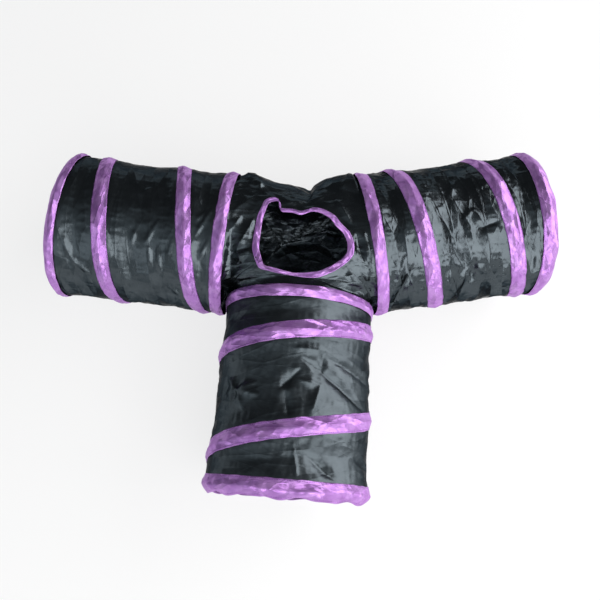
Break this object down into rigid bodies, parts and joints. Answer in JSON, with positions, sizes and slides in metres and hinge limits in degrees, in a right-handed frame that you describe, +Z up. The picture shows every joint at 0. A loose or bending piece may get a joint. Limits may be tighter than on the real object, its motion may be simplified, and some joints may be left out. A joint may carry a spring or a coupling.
{
  "type": "cat tunnel",
  "caption": "Collapsible T-shaped tunnel for cats: cloth tubes held open by spring-steel coils meet in a soft hub with a peephole on top.",
  "frame": {"origin": "on the floor, under the middle of the hub, in the middle of the flat patch that the hub's lower panel rests on", "axes": "+Z up, the right tube points to +X (9.5 degrees towards +Y), the left tube to -X (5.7 degrees towards +Y) and the front tube to -Y (2.7 degrees towards -X)"},
  "size_m": [0.8497, 0.6032, 0.25],
  "materials": {
    "cloth": "black crinkled polyester taffeta with a soft sheen",
    "tape": "violet satin tape",
    "wire": "drawn spring steel",
    "sleeve": "plated, crimped"
  },
  "bodies": {
    "hub": {"hub_top_panel": "cloth", "hub_bottom_panel": "cloth", "peephole_binding": "tape", "right_tube_cloth": "cloth", "left_tube_cloth": "cloth", "front_tube_cloth": "cloth", "right_inner_band": "tape", "left_inner_band": "tape", "front_inner_band": "tape", "right_coil_band": "tape", "left_coil_band": "tape", "front_coil_band": "tape", "right_inner_hoop": "wire", "left_inner_hoop": "wire", "front_inner_hoop": "wire", "right_coil_wire": "wire", "left_coil_wire": "wire", "front_coil_wire": "wire", "right_inner_sleeve": "sleeve", "left_inner_sleeve": "sleeve", "front_inner_sleeve": "sleeve"},
    "right_end": {"right_mouth_binding": "tape", "right_mouth_hoop": "wire", "right_mouth_sleeve": "sleeve"},
    "left_end": {"left_mouth_binding": "tape", "left_mouth_hoop": "wire", "left_mouth_sleeve": "sleeve"},
    "front_end": {"front_mouth_binding": "tape", "front_mouth_hoop": "wire", "front_mouth_sleeve": "sleeve"}
  },
  "joints": [
    {"name": "right_collapse", "type": "slide", "parent": "hub", "child": "right_end", "axis": [-0.9863, -0.165, 0], "range_m": [0, 0.235], "stiffness_N_per_m": 25, "deforming": ["right_tube_cloth", "right_coil_band", "right_coil_wire"]},
    {"name": "left_collapse", "type": "slide", "parent": "hub", "child": "left_end", "axis": [0.9951, -0.0993, 0], "range_m": [0, 0.235], "stiffness_N_per_m": 25, "deforming": ["left_tube_cloth", "left_coil_band", "left_coil_wire"]},
    {"name": "front_collapse", "type": "slide", "parent": "hub", "child": "front_end", "axis": [0.0471, 0.9989, 0], "range_m": [0, 0.259], "stiffness_N_per_m": 25, "deforming": ["front_tube_cloth", "front_coil_band", "front_coil_wire"]}
  ]
}
